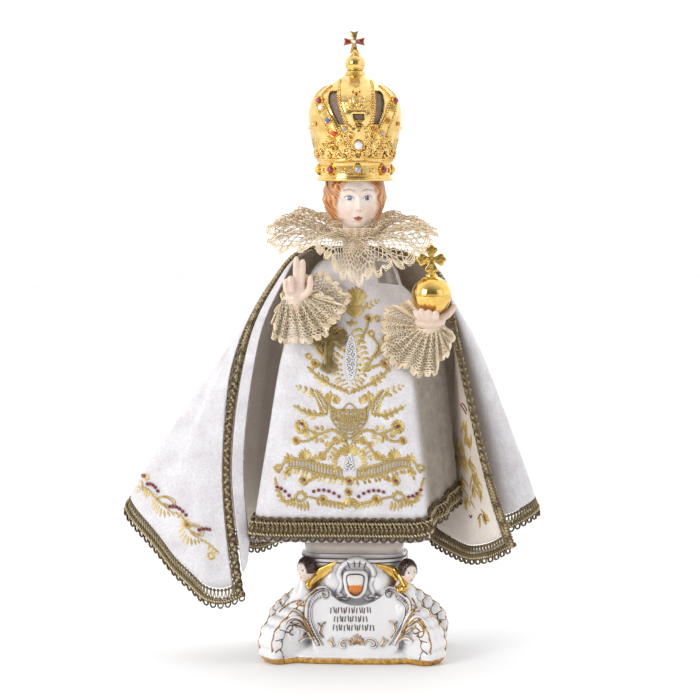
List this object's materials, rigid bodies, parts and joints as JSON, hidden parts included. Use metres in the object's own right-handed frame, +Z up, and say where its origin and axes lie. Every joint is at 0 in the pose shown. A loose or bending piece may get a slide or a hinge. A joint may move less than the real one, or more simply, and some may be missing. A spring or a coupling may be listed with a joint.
{
  "type": "infant of prague statue",
  "caption": "Devotional child figure of glazed porcelain in a cloth gown, cape and lace, with a gold crown and a gold globe, on a scrolled porcelain base.",
  "frame": {"origin": "centre of the base's flat underside", "axes": "+Z up towards the crown's cross, -Y the way the figure faces, +X towards the hand that holds the globe"},
  "size_m": [0.2977, 0.1401, 0.4501],
  "materials": {
    "porcelain": "glossy",
    "skin_porcelain": "glossy",
    "velvet": "short pile",
    "braid": "metallic thread",
    "lace": "cotton lace",
    "gold": "gilt, polished",
    "lining": "felt",
    "old_brass": "dull",
    "stone": "polished"
  },
  "bodies": {
    "root": {"base": "porcelain", "figure": "skin_porcelain", "gown": "velvet", "gown_braid": "braid", "cape": "velvet", "cape_hem_braid": "braid", "cape_edge_braid_right": "braid", "cape_edge_braid_left": "braid", "lace_collar": "lace", "lace_right_behind": "lace", "lace_right_front": "lace", "lace_left": "lace", "crown": "gold", "crown_lining": "lining", "globe": "gold", "pendant_cross": "old_brass", "band_stone_1": "stone", "band_stone_2": "stone", "band_stone_3": "stone", "band_stone_4": "stone", "band_stone_5": "stone", "band_stone_6": "stone", "band_stone_7": "stone", "band_stone_8": "stone", "rib_stone_1": "stone", "rib_stone_2": "stone", "rib_stone_3": "stone", "rib_stone_4": "stone"}
  },
  "joints": []
}
